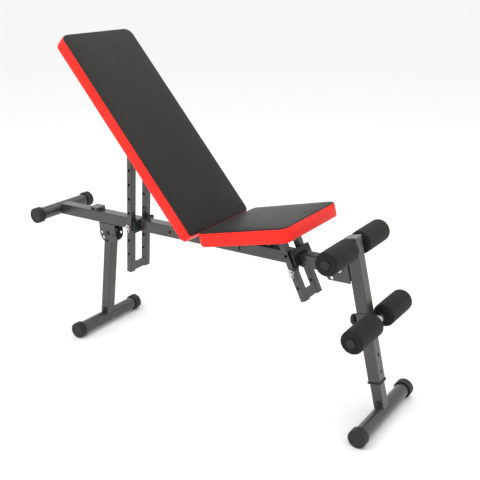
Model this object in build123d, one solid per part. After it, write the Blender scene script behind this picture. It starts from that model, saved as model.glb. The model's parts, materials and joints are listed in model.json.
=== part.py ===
from build123d import *
import math
import os

# Folding decline sit-up bench. Millimetres, +X towards the foot rollers, +Y to the sitter's left, +Z up.
# The origin is on the floor, midway between the rear cross-bar and the front foot.

# ---- layout in the side view ----
reach = 1325.0                 # rear cross-bar axis to front foot axis
crossbar_height = 422.3        # axis of the rear cross-bar above the floor
beam_tilt = 1.76               # degrees, beam rises towards the rollers
rear_foot_setback = 196.0      # rear foot axis in front of the cross-bar axis
leg_pivot_setback = 245.0      # rear leg pivot, along the beam from the cross-bar
leg_pivot_below = 36.0         # rear leg pivot below the underside of the beam
back_pivot_along = 683.5       # backrest pivot, along the beam from the cross-bar
back_pivot_over = 11.0         # backrest pivot above the top of the beam
pivot_spacing = 116.5          # seat pivot in front of the backrest pivot, along the beam
seat_pivot_over = 6.0          # seat pivot above the top of the beam
back_angle = 48.6              # degrees, backrest above the horizontal
seat_angle = 14.4              # degrees, seat above the horizontal
back_ladder_lean = 4.2         # degrees from upright, foot of the ladder rearwards
seat_ladder_lean = 26.5        # degrees from upright, foot of the ladder forwards
beam_end_round = 2.0           # rounding of the beam's end about the post pivot, beyond half its depth
beam_end_gap = 5.0             # beam's upper corner short of the post
post_pivot_inset = 17.0        # post pivot from the end of the beam
post_rake = 13.55              # degrees from upright, foot of the post forwards
post_fold = 50.0               # degrees that the front post folds rearwards
hook_hole_along = 539.0        # spare hole for an elastic strap's hook, along the beam

# ---- tubes ----
beam_size = 40.0
beam_wall = 2.0
round_tube_r = 22.5            # feet and rear cross-bar
round_tube_wall = 2.0
leg_size = 35.0
leg_wall = 2.0
post_size = 38.0
post_wall = 1.5
bush_gap = 1.0                 # room for the bush between the post and the leg inside it
inner_wall = 2.0
ladder_depth = 20.0
ladder_width = 25.0
ladder_wall = 1.5
ladder_clear = 5.0             # beam side to the ladder tube beside it
rail_width = 20.0
rail_depth = 25.0
rail_wall = 1.5
tube_corner = 3.0              # outer corner radius of the square tubes

# ---- feet ----
crossbar_half = 133.0          # centre to the outer face of an end cap
rear_foot_half = 159.0
front_foot_half = 172.0
cap_skirt = 5.5                # wall of a cap around its tube
cap_wall_end = 4.0
cap_length = 27.0
cap_flat = 1.0                 # depth of the flat that the cap stands on
cap_round = 4.0

# ---- pads ----
back_length = 758.0
back_width = 318.0
seat_length = 320.0
seat_width = 310.0
pad_thick = 47.0
board_thick = 12.0
board_inset = 7.0
pad_edge = 6.0                 # rounding of the pad's upper edge
back_top_corner = 30.0
back_low_corner = 18.0
seat_front_corner = 28.0
seat_rear_corner = 12.0
back_pivot_inset = 16.0        # pivot from the lower end of the backrest pad
back_pivot_depth = 17.5        # pivot below the backrest board
seat_pivot_inset = 28.0        # pivot from the rear end of the seat pad
seat_pivot_depth = 9.8         # pivot below the seat board

# ---- pad frames and ladders ----
back_rail_length = 545.0
back_hinge_reach = 420.0       # ladder hinge from the backrest pivot, along the pad
back_cross_reach = 487.0       # cross member that lands on the rest
seat_rail_length = 240.0
seat_rail_depth = 20.0
seat_hinge_reach = 191.0       # ladder hinge from the seat pivot, along the pad
seat_cross_reach = 150.0
seat_cross_depth = 5.0         # flat bar, clear of the ladder's guide when the seat is down
ladder_hinge_depth = 13.0      # ladder hinges below the boards
hole_pitch = 50.3
hole_r = 5.0
back_ladder_tail = 169.4       # hole in use to the lower end
back_holes_up = 4
back_holes_down = 2
seat_ladder_tail = 95.4
seat_pin_under = 10.2          # seat ladder's pin below the underside of the beam
seat_holes_up = 1
seat_holes_down = 1
cross_plate_height = 31.0
cross_plate_thick = 4.0
cross_plate_lift = 3.0         # lower edge of the plate above the tube ends

# ---- front post, measured up its own axis from the front foot ----
post_bottom = 103.0
upper_roller_over = 60.5       # upper roller above the post pivot
post_top_over = 26.0           # top of the post above the upper roller
post_hole_first = 131.0
post_hole_pitch = 54.0
post_hole_count = 4
inner_top = 345.0
roller_setting = 3             # which post hole the roller bracket sits at, from 0
button_setting = 1             # which post hole the snap button sits at, from 0

# ---- rollers ----
foam_r = 35.0
foam_length = 140.0
foam_inner = 31.0              # centre plane to the inner end of a foam roller
roller_tube_r = 12.5
roller_tube_wall = 1.5
plug_head_r = 13.5
plug_head = 2.5
sleeve_height = 50.0
sleeve_wall = 2.5
knob_r = 17.0
knob_length = 16.0

# ---- hardware ----
bolt_r = 4.0                   # M8
hinge_bolt_r = 5.0             # M10
screw_r = 3.0
screw_first = 40.0             # first screws, beyond the pivot
screw_last = 50.0              # last screws, short of the end of a rail
screw_bite = 9.0               # depth of a screw in the board
foot_bolt_up = 34.0            # foot bolt above the foot's axis
fan_r = 37.0                   # plate that carries the rear leg's lock holes
fan_hole_reach = 28.0
fan_steps = (-80.0, -40.0, 0.0, 95.0)
plate_thick = 3.0
hinge_sleeve_wall = 2.0        # bush in a rail around the M10 bolt
sleeve_wall_small = 3.0        # bush around an M8 bolt
ear_thick = 4.0
ear_half = 21.0
ear_top_r = 9.0
guide_thick = 6.0
guide_gap = 9.0                # ladder face to the guide behind which it slides
guide_rise = 4.5                # top of a guide above the beam
rest_height = 12.0
rest_length = 38.0             # along the beam
rest_setback = 12.0            # middle of the rest behind the cross member that lands on it
rest_plate = 3.0
lug_width = 14.0               # lock lug of the seat ladder, along the beam
lug_below = 9.0                # lug below its pin hole's centre
lug_top = 6.0                  # top of the lug below the beam centreline
lock_reach = 42.0              # post lock hole from the post pivot

# ---- clearances ----
run_fit = 0.05                 # radial, bolt in a turning sleeve
side_gap = 0.5                 # between faces that slide past each other
slide_gap = 0.6                # sleeve on the post
weld_gap = 0.05                # shaft in a hole of the same weldment
pin_gap = 0.7                  # pin tip short of the piece that it locks

half_beam = beam_size / 2
beam_end_r = half_beam + beam_end_round
half_post = post_size / 2
inner_size = post_size - 2 * post_wall - 2 * bush_gap
ladder_gap = beam_size + 2 * ladder_clear
cap_r = round_tube_r + cap_skirt
foot_z = cap_r - cap_flat
leg_pivot_drop = half_beam + leg_pivot_below
back_pivot_rise = half_beam + back_pivot_over
seat_pivot_rise = half_beam + seat_pivot_over
seat_pivot_along = back_pivot_along + pivot_spacing


def at(parent, x, z, turn=0.0):
    """A side-view frame: x along, z up in the parent frame, turned about Y (positive takes Z to X)."""
    return parent * Pos(x, 0, z) * Rot(0, turn, 0)


beam = Pos(-reach / 2, 0, crossbar_height) * Rot(0, -beam_tilt, 0)
back = at(beam, back_pivot_along, back_pivot_rise, back_angle + beam_tilt)
seat = at(beam, seat_pivot_along, seat_pivot_rise, beam_tilt - seat_angle)
post = at(Pos(0, 0, 0), reach / 2, foot_z, -post_rake)
leg_pivot = at(beam, leg_pivot_setback, -leg_pivot_drop).position
rear_foot = Vector(rear_foot_setback - reach / 2, 0, foot_z)
leg_length = (leg_pivot - rear_foot).length
leg_lean = math.degrees(math.atan2(leg_pivot.X - rear_foot.X, leg_pivot.Z - rear_foot.Z))
leg = Pos(*leg_pivot) * Rot(0, leg_lean, 0)
back_hinge = at(back, -back_hinge_reach, back_pivot_depth - ladder_hinge_depth).position
seat_hinge = at(seat, seat_hinge_reach, seat_pivot_depth - ladder_hinge_depth).position
back_ladder = Pos(*back_hinge) * Rot(0, back_ladder_lean, 0)
seat_ladder = Pos(*seat_hinge) * Rot(0, -seat_ladder_lean, 0)


def beam_point(point):
    """Distance along and above the beam centreline of a point in the side view."""
    local = beam.inverse() * Pos(*point)
    return local.position


def beam_end():
    """Where the beam stops short of the rear face of the post, measured along the beam."""
    lean = math.radians(post_rake - beam_tilt)
    foot = beam_point(post.position)
    face = foot.X - half_post / math.cos(lean) - (half_beam - foot.Z) * math.tan(lean)
    return face - beam_end_gap


def reach_down(ladder, drop):
    """Distance down a ladder from its hinge to a line parallel to the beam, drop below its centreline."""
    hinge = beam_point(ladder.position)
    lean = math.radians(ladder.orientation.Y + beam_tilt)
    return (hinge.Z + drop) / math.cos(lean)


beam_length = beam_end()
post_pivot_along = beam_length - post_pivot_inset
post_pivot = at(beam, post_pivot_along, 0).position
pivot_up = (post.inverse() * Pos(*post_pivot)).position.Z
upper_roller_up = pivot_up + upper_roller_over
post_top = upper_roller_up + post_top_over
back_pin_reach = reach_down(back_ladder, 0.0)
back_ladder_length = back_pin_reach + back_ladder_tail
seat_pin_reach = reach_down(seat_ladder, half_beam + seat_pin_under)
seat_ladder_length = seat_pin_reach + seat_ladder_tail


def across(r, half, y=0.0, inner=0.0):
    """A round bar along Y, 2 x half long, centred at y, with an optional bore."""
    bar = Pos(0, y, 0) * Rot(90, 0, 0) * Cylinder(r, 2 * half)
    if inner:
        bar -= Pos(0, y, 0) * Rot(90, 0, 0) * Cylinder(inner, 2 * half)
    return bar


def square_tube(size_x, size_y, wall, low, high):
    """A rectangular tube along Z, with round outer corners."""
    outer = RectangleRounded(size_x, size_y, tube_corner)
    inner = RectangleRounded(size_x - 2 * wall, size_y - 2 * wall, tube_corner - wall + 0.2)
    return extrude(Pos(0, 0, low) * (outer - inner), high - low)


def hex_bolt(r, y_head, y_nut, gap=0.0):
    """A hex bolt along Y from the seat of its head at y_head to the seat of its nut at y_nut."""
    way = 1 if y_nut > y_head else -1
    head = 1.3 * r
    stub = 0.6 * r
    far = y_nut + way * (gap + 1.6 * r + stub)
    shank = across(r, abs(far - y_head) / 2, (far + y_head) / 2)
    turn = Rot(90, 0, 0)
    hexagon = RegularPolygon(1.85 * r, 6)
    top = Pos(0, y_head, 0) * turn * extrude(hexagon, way * head)
    nut = Pos(0, y_nut + way * gap, 0) * turn * extrude(hexagon - Circle(r), -way * 1.6 * r)
    return [shank + top, nut]


def pull_pin(tip, seat_face, ring_r=9.0, way=-1):
    """A lock pin along Y with a collar head outside seat_face, and the pull ring through its end."""
    head = 7.0
    end = seat_face + way * (head + 6.0)
    nose = end - way * 3.0
    shaft = across(hole_r - 0.2, abs(end - tip) / 2, (end + tip) / 2)
    shaft -= Pos(0, nose, -0.6) * Rot(0, 90, 0) * Cylinder(2.2, 20)
    collar = across(9.0, head / 2 - 0.2, seat_face + way * (head / 2 + 0.2))
    ring = Pos(0, nose, -ring_r) * Rot(90, 0, 0) * Torus(ring_r, 1.2)
    return [shaft + collar, ring]


def round_foot(half):
    """A round tube along Y that ends inside its caps."""
    return across(round_tube_r, half - cap_wall_end, 0, round_tube_r - round_tube_wall)


def end_caps(half):
    """Two moulded cups over the ends of a round tube, each with a flat to stand on."""
    cap = Pos(0, half - cap_length / 2, 0) * Rot(90, 0, 0) * Cylinder(cap_r, cap_length)
    cap = fillet(cap.edges().filter_by(GeomType.CIRCLE).sort_by(Axis.Y)[-1], cap_round)
    cap -= across(round_tube_r, cap_length / 2, half - cap_length / 2 - cap_wall_end)
    cap -= Pos(0, half, -cap_r - 10 + cap_flat) * Box(4 * cap_r, 4 * cap_length, 20)
    return cap, mirror(cap, Plane.XZ)


# ---------------------------------------------------------------- main frame
def main_beam():
    """The square beam: coped to the cross-bar, drilled for the post, the back pin and a strap hook."""
    tube = Rot(0, 90, 0) * square_tube(beam_size, beam_size, beam_wall, 0, beam_length)
    tube -= across(round_tube_r, beam_size)
    pin = beam_point(at(back_ladder, 0, -back_pin_reach).position)
    tube -= Pos(pin.X, 0, pin.Z) * across(hole_r, beam_size)
    tube -= Pos(hook_hole_along, 0, 0) * across(hole_r, beam_size)
    tube -= Pos(post_pivot_along, 0, 0) * across(hinge_bolt_r + weld_gap, beam_size)
    tube -= Pos(post_pivot_along - lock_reach, 0, 0) * across(hole_r, beam_size)
    nose = Pos(beam_length, 0, 0) * Box(2 * post_pivot_inset, 2 * beam_size, 2 * beam_size)
    tube -= nose - Pos(post_pivot_along, 0, 0) * across(beam_end_r, beam_size)
    return beam * tube


def leg_hinge_bracket():
    """A channel under the beam whose two cheeks are fans, drilled for the leg's lock positions."""
    cheek_in = leg_size / 2 + side_gap
    drop = leg_pivot_drop - half_beam
    fan = Circle(fan_r) - Pos(0, fan_r + 4) * Rectangle(4 * fan_r, 2 * fan_r)
    upper = Pos(0, drop / 2) * Rectangle(2 * fan_r, drop)
    outline = fan + upper
    outline -= Circle(bolt_r + weld_gap)
    for step in fan_steps:
        turn = math.radians(-90 - leg_lean - beam_tilt + step)
        outline -= Pos(fan_hole_reach * math.cos(turn), fan_hole_reach * math.sin(turn)) * Circle(hole_r)
    outline = Plane.XZ * outline
    cheeks = []
    for side in (-1, 1):
        face = Pos(0, side * cheek_in, 0) * outline
        cheeks.append(extrude(face, plate_thick, dir=(0, side, 0)))
    web = Pos(0, 0, drop - plate_thick / 2) * Box(2 * fan_r, 2 * cheek_in, plate_thick)
    return at(beam, leg_pivot_setback, -leg_pivot_drop) * (cheeks[0] + web + cheeks[1])


def hinge_ears(along, rise):
    """Two round-topped plates welded to the sides of the beam, with the hinge bolt's hole."""
    low = -0.6 * half_beam
    outline = Polygon((-ear_half, low), (ear_half, low), (ear_half, half_beam - 4), (ear_top_r, rise),
                      (-ear_top_r, rise), (-ear_half, half_beam - 4), align=None)
    outline += Pos(0, rise) * Circle(ear_top_r)
    outline -= Pos(0, rise) * Circle(hinge_bolt_r + weld_gap)
    cheeks = []
    for side in (-1, 1):
        face = Pos(0, side * half_beam, 0) * (Plane.XZ * outline)
        cheeks.append(at(beam, along, 0) * extrude(face, ear_thick, dir=(0, side, 0)))
    return cheeks


def hinge_spacers(along, rise):
    """Spacer bushes between the ears and the rails of a pad frame."""
    inner = half_beam + ear_thick
    outer = ladder_gap / 2 + ladder_width + 1.0 - side_gap
    half = (outer - inner) / 2
    spacer = across(hinge_bolt_r + sleeve_wall_small, half, inner + half, hinge_bolt_r + weld_gap)
    spacer = at(beam, along, rise) * spacer
    return [spacer, mirror(spacer, Plane.XZ)]


def ladder_guide(ladder, pin_reach):
    """A saddle over the beam, parallel to the ladder, with a wing in front of each of its tubes."""
    pin = beam_point(at(ladder, 0, -pin_reach).position)
    lean = math.radians(ladder.orientation.Y + beam_tilt)
    half = ladder_gap / 2 + ladder_width
    height = (beam_size + guide_rise) / math.cos(lean)
    plate = RectangleRounded(2 * half, height, 6.0) - Pos(0, -height / 2) * Rectangle(beam_size, 16)
    middle = -pin_reach - pin.Z / math.cos(lean) + guide_rise / 2
    wing = Pos(ladder_depth / 2 + guide_gap, 0, middle) * extrude(Plane.YZ * plate, guide_thick)
    bar = Pos(pin.X, 0, 0) * Box(6 * beam_size, beam_size, beam_size)
    below = Pos(pin.X, 0, -beam_size) * Box(6 * beam_size, 4 * half, beam_size)
    return ladder * wing - beam * bar - beam * below


def backrest_rest():
    """A raised plate on two legs, on top of the beam, where the lowered backrest lands."""
    along = back_pivot_along - back_cross_reach - rest_setback
    under = rest_height - rest_plate
    top = Pos(0, 0, under + rest_plate / 2) * Box(rest_length, beam_size, rest_plate)
    lip = Pos((rest_length - rest_plate) / 2, 0, rest_height / 2) * Box(rest_plate, beam_size, rest_height)
    legs = Pos(0, 0, under / 2) * Box(rest_length - 24, 4.0, under)
    return at(beam, along, half_beam) * (top + lip + legs)


def rest_bumpers():
    """Four rubber blocks between the rest and the beam."""
    along = back_pivot_along - back_cross_reach - rest_setback
    blocks = []
    height = rest_height - rest_plate
    for x in (-13.0, 11.0):
        for side in (-1, 1):
            block = Pos(x, side * 12, height / 2) * Box(8, 10, height)
            blocks.append(at(beam, along, half_beam) * block)
    return blocks


def seat_lock_lugs():
    """Two lugs on the beam's sides, reaching below it to the seat ladder's pin."""
    pin = beam_point(at(seat_ladder, 0, -seat_pin_reach).position)
    low = pin.Z - lug_below
    lugs = []
    for side in (-1, 1):
        outline = Pos(pin.X, (low - lug_top) / 2) * Rectangle(lug_width, -lug_top - low)
        outline -= Pos(pin.X, pin.Z) * Circle(hole_r)
        face = Pos(0, side * half_beam, 0) * (Plane.XZ * outline)
        lugs.append(beam * extrude(face, plate_thick, dir=(0, side, 0)))
    return lugs


# ---------------------------------------------------------------- rear leg
def leg_tube():
    """The rear leg: a square tube with a welded pivot sleeve, coped over the foot."""
    tube = square_tube(leg_size, leg_size, leg_wall, -leg_length + 8, 20)
    tube -= Pos(0, 0, -leg_length) * across(round_tube_r + weld_gap, leg_size)
    tube -= across(bolt_r + sleeve_wall_small, leg_size)
    sleeve = across(bolt_r + sleeve_wall_small, leg_size / 2, 0, bolt_r + run_fit)
    tube -= Pos(0, 0, -fan_hole_reach) * across(hole_r, leg_size)
    tube -= Pos(0, 0, -leg_length + foot_bolt_up) * across(bolt_r + weld_gap, leg_size)
    return leg * (tube + sleeve)


def foot_weldment(half, stub_size):
    """A round foot with an upright stub that fits inside the leg."""
    stub = square_tube(stub_size, stub_size, 2.0, 0, 60)
    stub -= across(round_tube_r - 0.5 * round_tube_wall, stub_size)
    stub -= Pos(0, 0, foot_bolt_up) * across(bolt_r + weld_gap, stub_size)
    return round_foot(half) + stub


# ---------------------------------------------------------------- pads
def pad_outline(length, width, corner_low, corner_high):
    """A pad seen from above: x from 0 to length, with the corners at each end rounded."""
    sketch = Pos(length / 2, 0) * Rectangle(length, width)
    sketch = fillet(sketch.vertices().group_by(Axis.X)[0], corner_low)
    return fillet(sketch.vertices().group_by(Axis.X)[-1], corner_high)


def pad(length, width, corner_low, corner_high):
    """Foam in its vinyl cover, with the pocket that the board fills."""
    block = extrude(pad_outline(length, width, corner_low, corner_high), pad_thick)
    block = fillet(block.faces().sort_by(Axis.Z)[-1].edges(), pad_edge)
    return block - board(length, width, corner_low, corner_high)


def board(length, width, corner_low, corner_high):
    """The plywood board let into the underside of a pad."""
    inset = board_inset
    face = pad_outline(length - 2 * inset, width - 2 * inset, corner_low - inset / 2, corner_high - inset)
    return Pos(inset, 0, 0) * extrude(face, board_thick)


back_pad_frame = back * Pos(back_pivot_inset, 0, back_pivot_depth) * Rot(0, 0, 180)
seat_pad_frame = seat * Pos(-seat_pivot_inset, 0, seat_pivot_depth)
back_shape = (back_length, back_width, back_low_corner, back_top_corner)
seat_shape = (seat_length, seat_width, seat_rear_corner, seat_front_corner)
rail_y = ladder_gap / 2 + ladder_width + 1.0 + rail_width / 2


def screw_places(rail_length, inset):
    """Where the screws go through the rails of a pad frame."""
    ends = (inset + screw_first, rail_length - screw_last)
    return [(x, side * rail_y) for x in ends for side in (-1, 1)]


def drilled_board(shape, rail_length, inset):
    """A pad's board with the pilot holes for its screws."""
    panel = board(*shape)
    for x, y in screw_places(rail_length, inset):
        panel -= Pos(x, y, 0) * Cylinder(screw_r + weld_gap, 2 * screw_bite)
    return panel


def pad_frame(rail_length, deep, inset, depth, hinge, cross, cross_depth):
    """Two rails and a cross member under a board, drilled for the pivot and the ladder hinge.

    The cross member is a length of the rail's tube, or a flat bar where it is shallower than the rails.
    """
    rail = Rot(0, 90, 0) * square_tube(deep, rail_width, rail_wall, 0, rail_length)
    rails = Pos(0, -rail_y, -deep / 2) * rail + Pos(0, rail_y, -deep / 2) * rail
    bar_half = rail_y - rail_width / 2
    bar = Rot(90, 0, 0) * square_tube(deep, deep, rail_wall, -bar_half, bar_half)
    if cross_depth < deep:
        bar = Box(deep, 2 * bar_half, cross_depth)
    frame = rails + Pos(inset + cross, 0, -cross_depth / 2) * bar
    for side in (-1, 1):
        sleeve = across(hinge_bolt_r + hinge_sleeve_wall, rail_width / 2, side * rail_y)
        frame += Pos(inset, 0, -depth) * sleeve
    frame -= Pos(inset, 0, -depth) * across(hinge_bolt_r + run_fit, 2 * rail_y)
    frame -= Pos(inset + hinge, 0, -ladder_hinge_depth) * across(bolt_r + weld_gap, 2 * rail_y)
    for x, y in screw_places(rail_length, inset):
        frame -= Pos(x, y, -deep / 2) * Cylinder(screw_r + weld_gap, 2 * deep)
    return frame


def pad_screws(rail_length, deep, inset):
    """Round-headed screws up through the rails into the board."""
    screws = []
    for x, y in screw_places(rail_length, inset):
        shank = Cylinder(screw_r, deep + screw_bite, align=(Align.CENTER, Align.CENTER, Align.MAX))
        shank = Pos(x, y, screw_bite) * shank
        head = Pos(x, y, -deep) * Cylinder(6.5, 4.0, align=(Align.CENTER, Align.CENTER, Align.MAX))
        screws.append(shank + fillet(head.edges().sort_by(Axis.Z)[0], 2.0))
    return screws


# ---------------------------------------------------------------- ladders
def ladder(length, pin_reach, up, down):
    """Two drilled tubes joined by a plate near the bottom and a sleeve at the hinge."""
    tube_y = (ladder_gap + ladder_width) / 2
    tube = square_tube(ladder_depth, ladder_width, ladder_wall, -length, ladder_depth / 2)
    above = Pos(0, 0, ladder_depth / 2) * Box(2 * ladder_depth, 2 * ladder_width, ladder_depth)
    tube -= above - across(ladder_depth / 2, ladder_width)
    tubes = Pos(0, -tube_y, 0) * tube + Pos(0, tube_y, 0) * tube
    plate_z = -length + cross_plate_lift + cross_plate_height / 2
    plate = Box(cross_plate_thick, ladder_gap + 2, cross_plate_height)
    tubes += Pos(ladder_depth / 2 - cross_plate_thick, 0, plate_z) * plate
    for side in (-1, 1):
        tubes += across(bolt_r + sleeve_wall_small, ladder_width / 2, side * tube_y)
    tubes += across(bolt_r + sleeve_wall_small, ladder_gap / 2)
    tubes -= across(bolt_r + run_fit, ladder_gap + ladder_width)
    for step in range(-down, up + 1):
        tubes -= Pos(0, 0, -pin_reach + step * hole_pitch) * across(hole_r, ladder_gap + ladder_width)
    return tubes


# ---------------------------------------------------------------- front post
def post_tube():
    """The front post: bored for the roller tube and drilled front and back for its settings."""
    tube = square_tube(post_size, post_size, post_wall, post_bottom, post_top)
    tube -= Pos(0, 0, upper_roller_up) * across(roller_tube_r + weld_gap, post_size)
    for step in range(post_hole_count):
        up = post_hole_first + step * post_hole_pitch
        tube -= Pos(0, 0, up) * Rot(0, 90, 0) * Cylinder(hole_r, 2 * post_size)
    return tube


def post_cap():
    """A plug with a thin square head, pressed into the top of the post."""
    head = extrude(RectangleRounded(post_size, post_size, tube_corner), 4.0)
    head = fillet(head.faces().sort_by(Axis.Z)[-1].edges(), 1.5)
    inside = post_size - 2 * post_wall - 0.2
    plug = extrude(RectangleRounded(inside, inside, tube_corner - post_wall), -10.0)
    return Pos(0, 0, post_top) * (head + plug)


def post_bracket():
    """Two cheeks welded to the rear face of the post, on each side of the beam's front end.

    The second lock hole sits where the post's lock hole lands when the post is folded.
    """
    pivot = (post.inverse() * Pos(*post_pivot)).position
    tilt = post_rake - beam_tilt
    cheek_in = half_beam + side_gap
    place = Pos(pivot.X, 0, pivot.Z) * Rot(0, tilt, 0)
    rear = lock_reach + 11.0
    front = 70.0
    outline = Polygon((-rear, 22), (front, 24), (front, -38), (-38, -40), (-rear, -12), align=None)
    outline = fillet(outline.vertices(), 5.0)
    fold = math.radians(180 + post_fold)
    for x, z in ((-lock_reach, 0), (lock_reach * math.cos(fold), lock_reach * math.sin(fold))):
        outline -= Pos(x, z) * Circle(hole_r)
    outline -= Circle(hinge_bolt_r + run_fit)
    ahead = Pos(front - half_post, 0, pivot.Z) * Box(2 * front, 4 * cheek_in, 4 * front)
    cheeks = []
    for side in (-1, 1):
        face = Pos(0, side * cheek_in, 0) * (Plane.XZ * outline)
        cheeks.append(place * extrude(face, plate_thick, dir=(0, side, 0)) - ahead)
    pad_plate = Pos(-half_post - plate_thick / 2, 0, pivot.Z - 7)
    pad_plate *= Box(plate_thick, 2 * cheek_in + 2 * plate_thick, 62)
    return post * (cheeks[0] + cheeks[1] + pad_plate)


def post_collar():
    """A plastic bush in the mouth of the post, with a square lip below it."""
    bore = inner_size + 0.3
    lip = RectangleRounded(post_size + 5, post_size + 5, tube_corner + 1)
    lip -= RectangleRounded(bore, bore, tube_corner)
    sleeve_out = post_size - 2 * post_wall - 0.1
    sleeve = RectangleRounded(sleeve_out, sleeve_out, tube_corner - post_wall + 0.5)
    sleeve -= RectangleRounded(bore, bore, tube_corner - post_wall)
    return Pos(0, 0, post_bottom) * (extrude(lip, -5.0) + extrude(sleeve, 30.0))


def inner_leg():
    """The tube that slides in the post and carries the front foot."""
    tube = square_tube(inner_size, inner_size, inner_wall, 8, inner_top)
    tube -= across(round_tube_r + weld_gap, inner_size)
    tube -= Pos(0, 0, foot_bolt_up) * across(bolt_r + weld_gap, inner_size)
    up = post_hole_first + button_setting * post_hole_pitch
    tube -= Pos(-inner_size / 2, 0, up) * Rot(0, 90, 0) * Cylinder(hole_r, 10)
    return tube


def snap_button():
    """A sprung button inside the inner leg, drawn pressed in so that the leg can slide."""
    up = post_hole_first + button_setting * post_hole_pitch
    wall_in = inner_size / 2 - inner_wall
    button = Rot(0, 90, 0) * Cylinder(hole_r - 0.3, inner_wall + 0.8)
    button = Pos(-wall_in - inner_wall / 2 + 0.5, 0, up) * button
    strip = Pos(-wall_in + 1.4, 0, up + 12) * Box(1.2, 12, 46)
    bend = Pos(-wall_in + 7.0, 0, up + 35) * Box(12.4, 12, 1.2)
    tail = Pos(-wall_in + 13.0, 0, up + 20) * Rot(0, -12, 0) * Box(1.2, 12, 32)
    return button + strip + bend + tail


# ---------------------------------------------------------------- rollers
def roller_tube():
    """The steel tube that carries a pair of foam rollers."""
    half = foam_inner + foam_length - 1.0
    return across(roller_tube_r, half, 0, roller_tube_r - roller_tube_wall)


def roller_plugs():
    """Plugs in the ends of a roller tube, whose heads keep the foam on."""
    inner = foam_inner + foam_length - 1.0
    stem = across(roller_tube_r - roller_tube_wall - 0.05, 6.0, inner - 6.0)
    head = across(plug_head_r, plug_head / 2, inner + plug_head / 2)
    plug = stem + head
    return [plug, mirror(plug, Plane.XZ)]


def foam_roller(side):
    """A soft sleeve with rounded rims, turning on the roller tube."""
    middle = side * (foam_inner + foam_length / 2)
    body = across(foam_r, foam_length / 2 - 1.3, middle)
    body = fillet(body.edges().filter_by(GeomType.CIRCLE), 5.0)
    return body - across(roller_tube_r + 0.1, foam_length, middle)


sleeve_inner = post_size + 2 * slide_gap
sleeve_outer = sleeve_inner + 2 * sleeve_wall
roller_offset = sleeve_outer / 2 + roller_tube_r + 2.0
roller_up = post_hole_first + roller_setting * post_hole_pitch


def roller_bracket():
    """The sleeve that slides on the post, with a saddle for the roller tube and a boss for the knob."""
    half = sleeve_height / 2
    outer = RectangleRounded(sleeve_outer, sleeve_outer, tube_corner + 2)
    inner = RectangleRounded(sleeve_inner, sleeve_inner, tube_corner)
    sleeve = extrude(Pos(0, 0, -half) * (outer - inner), 2 * half)
    saddle = Pos(sleeve_outer / 2 + 7.0, 0, 0) * Box(14.5, 30, 22)
    sleeve += saddle - Pos(roller_offset, 0, 0) * across(roller_tube_r + weld_gap, 30)
    boss = Pos(-sleeve_outer / 2 - 3.5, 0, 0) * Rot(0, 90, 0) * Cylinder(9.0, 7.5)
    sleeve += boss
    return sleeve - Pos(-sleeve_outer / 2, 0, 0) * Rot(0, 90, 0) * Cylinder(bolt_r + 0.1, 18)


def knob_pin():
    """The spring pin of the roller bracket, its tip drawn just clear of the post."""
    tip = -half_post - slide_gap
    far = -sleeve_outer / 2 - 7.5 - side_gap - 2
    return Pos((tip + far) / 2, 0, 0) * Rot(0, 90, 0) * Cylinder(bolt_r, tip - far)


def knob():
    """The round grip on the roller bracket's pin."""
    near = -sleeve_outer / 2 - 7.5 - side_gap
    body = Pos(near - knob_length / 2, 0, 0) * Rot(0, 90, 0) * Cylinder(knob_r, knob_length)
    body = fillet(body.edges().filter_by(GeomType.CIRCLE), 3.0)
    return body - knob_pin()


roller_axis = at(post, roller_offset, roller_up).position
upper_axis = at(post, 0, upper_roller_up).position
slide = at(post, 0, roller_up)


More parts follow.
